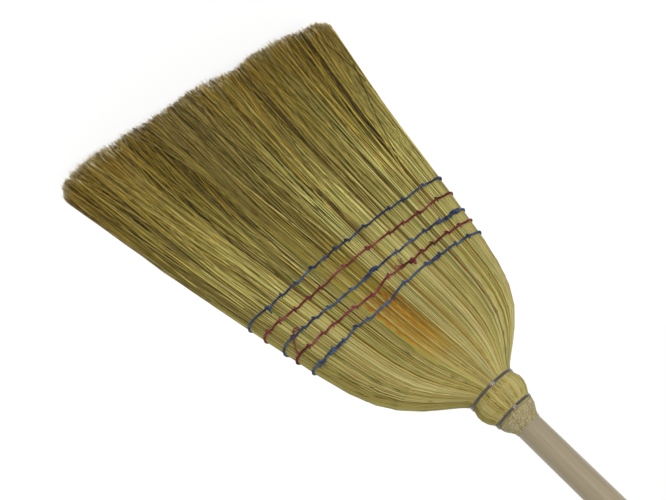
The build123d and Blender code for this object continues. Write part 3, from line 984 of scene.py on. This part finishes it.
row_1, row_2, row_3, row_4, row_5 = row_heights
blue_knots = (
    knot(4, row_3 - 0.5, 6, 1.7, 5), knot(7, row_3 - 1.5, 5, 1.3, 3), knot(-101, row_3 + 1.5, 6, 2.0, 5),
    knot(-97, row_3 + 0.5, 6, 1.6, 4), knot(101, row_3 - 0.5, 4, 1.6, 3), knot(-46, row_1 - 1.5, 6, 1.4, 3),
    knot(85, row_1 + 3.5, 8, 1.5, 4), knot(100, row_5 + 3, 3, 1.5, 2),
)
blue_ends = (
    # row 3: the doubled loops beside its two knots
    ((8, row_3 - 0.5, 1.6), (12, row_3 + 2, 2.0), (17, row_3 + 3, 2.0), (22, row_3 + 2, 1.5),
     (26, row_3 + 1, 1.0)),
    ((-96, row_3 + 1, 1.8), (-90, row_3 + 3.5, 2.2), (-82, row_3 + 3, 2.2), (-74, row_3 + 1, 1.2)),
    # row 1: two stretches where the cord is doubled
    ((-52, row_1 - 3, 1.0), (-48, row_1 - 0.5, 2.2), (-41, row_1 - 0.5, 2.4), (-34, row_1 - 2, 1.2)),
    ((70, row_1 + 3, 1.2), (77, row_1 + 5, 2.2), (86, row_1 + 5, 2.2), (93, row_1 + 3, 1.2)),
    ((90, row_1 + 3, 1.4), (95, row_1 + 5.5, 1.8), (101, row_1 + 5.5, 1.4)),
    # row 5: short ends by both edges
    ((99, row_5 + 3, 1.8), (101, row_5 + 6, 2.0), (101, row_5 + 9, 1.4)),
    ((-112, row_5, 1.2), (-116, row_5 + 1, 1.6), (-118, row_5 + 4, 1.2)),
)
red_knots = (
    knot(-27, row_2 + 1, 5, 1.7, 4), knot(-16, row_2, 5, 1.3, 3), knot(0, row_2 - 1, 4, 1.4, 2),
    knot(-6, row_4 - 1, 4, 1.5, 2), knot(24, row_2 + 3, 3, 1.3, 2),
)
red_ends = (
    # from row 2's +X end a strand crosses to row 3 and loops round it
    ((107, row_2 + 1, 1.0), (106, row_2 - 5, 1.6), (103, row_2 - 11, 2.6), (101, row_3 + 1, 4.0),
     (99, row_3 - 3, 3.4), (96, row_3 - 5, 2.4), (93, row_3 - 4, 2.4), (94, row_3 - 2, 3.0),
     (98, row_3 - 2.5, 3.8)),
    # row 2: a drooping loop in its bunched stretch
    ((-31, row_2, 1.6), (-29, row_2 + 3, 2.2), (-27, row_2 + 6.5, 1.8), (-26, row_2 + 3, 2.4),
     (-24, row_2, 1.8)),
)
whiskers = (  # the frayed fibres of row 2's knots
    ((-17, row_2 - 1, 1.5), (-18, row_2 - 4, 3.0), (-20, row_2 - 7, 3.8)),
    ((-17, row_2 - 1, 1.5), (-16, row_2 - 4, 3.4), (-16, row_2 - 8, 4.5)),
    ((-16, row_2 - 1, 1.5), (-13, row_2 - 3, 2.6), (-11, row_2 - 5, 3.0)),
    ((-14, row_2 - 1, 1.5), (-12, row_2 - 2, 3.2), (-8, row_2 - 3.5, 3.6)),
)


def knots_and_ends(colour, knots, ends, radius, fibres=()):
    """All the knots and loose thread of one colour."""
    parts = list(knots)
    for points in ends:
        parts += twisted(smooth_path(points), radius)
    parts += [tube(smooth_path(points), whisker_radius, 5) for points in fibres]
    piece = piece_of(f"{colour}_thread_ends", parts, threads[colour])
    finish_piece(piece, f"{colour}_thread", f"{colour}_thread_knots")


knots_and_ends("blue", blue_knots, blue_ends, blue_end_radius)
knots_and_ends("red", red_knots, red_ends, red_end_radius, whiskers)


# ---- Finishes of the CAD pieces that stay ----
def dress(node, material):
    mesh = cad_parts[node].data
    mesh.materials.clear()
    mesh.materials.append(material)


for node in ("neck_wire_lower", "neck_wire_upper", "binding_wire", "binding_nail"):
    dress(node, steel)
dress("handle", wood)

# ---- Floor, light and camera ----
floor_half = 6.0
floor_glow, floor_glow_share = 1.06, 0.8
tent_opening = (0.36, -0.93, 0.0)  # the way to the light tent's opening, which is dimmer
tent_behind, tent_ahead = 1.7, 0.3  # brightness away from the opening and at it


def seen_directly(n):
    """1 for rays from the camera, a mirror or through glass, otherwise 0."""
    rays = n.add("ShaderNodeLightPath").outputs
    seen = n.math("ADD", rays["Is Camera Ray"], rays["Is Glossy Ray"])
    return n.math("ADD", seen, rays["Is Transmission Ray"], use_clamp=True)


def white_floor():
    """Matt white that takes shadows, but mostly a plain glow where it is seen directly."""
    material, n, shader = new_material("white_floor")
    n.fill(shader, {"Base Color": (0.9, 0.9, 0.9, 1), "Roughness": 0.9})
    glow = n.add("ShaderNodeEmission", {"Color": (1, 1, 1, 1), "Strength": floor_glow})
    share = n.product(seen_directly(n), floor_glow_share)
    mixed = n.add("ShaderNodeMixShader", {0: share, 1: shader, 2: glow})
    n.fill(n.tree.nodes["Material Output"], {"Surface": mixed})
    return material


def light_tent():
    """A world of soft white light, seen as plain white."""
    world = bpy.data.worlds.new("studio")
    world.use_nodes = True
    n = Nodes(world.node_tree)
    direction = n.add("ShaderNodeTexCoord").outputs["Generated"]
    ahead = n.add("ShaderNodeVectorMath", {0: direction, 1: tent_opening}, operation="DOT_PRODUCT")
    tent = n.mapped(ahead.outputs["Value"], (-1.0, 1.0), (tent_behind, tent_ahead))
    level = n.mix(seen_directly(n), tent, 1.0)
    n.fill(n.tree.nodes["Background"], {"Strength": level, "Color": (1, 1, 1, 1)})
    return world


floor_corners = [(x * floor_half, y * floor_half, 0) for x, y in ((-1, -1), (1, -1), (1, 1), (-1, 1))]
new_object("floor", made_mesh("floor", floor_corners, [(0, 1, 2, 3)], white_floor(), smooth=False))
scene.world = light_tent()

lamp = bpy.data.lights.new("key", "AREA")
lamp.energy, lamp.size = 24.0, 0.55
lamp_place, lamp_target = Vector((0.05, -1.9, 1.1)), Vector((0, 0, 0.3))
key = new_object("key", lamp)
key.location = lamp_place
key.rotation_euler = (lamp_target - lamp_place).to_track_quat("-Z", "Y").to_euler()

camera = bpy.data.cameras.new("camera")
camera.lens, camera.sensor_width = 47.26, 36.0
camera_place = Vector((288.1, -720.8, 559.8)) * MM
# Unit vectors right and up in the view, and back from the broom.
camera_axes = Matrix(((-0.7515, 0.0024, 0.6596), (-0.57, -0.5057, -0.6475), (0.332, -0.8627, 0.3814)))
scene.camera = new_object("camera", camera)
scene.camera.matrix_world = Matrix.Translation(camera_place) @ camera_axes.transposed().to_4x4()
scene.view_settings.view_transform = "Standard"
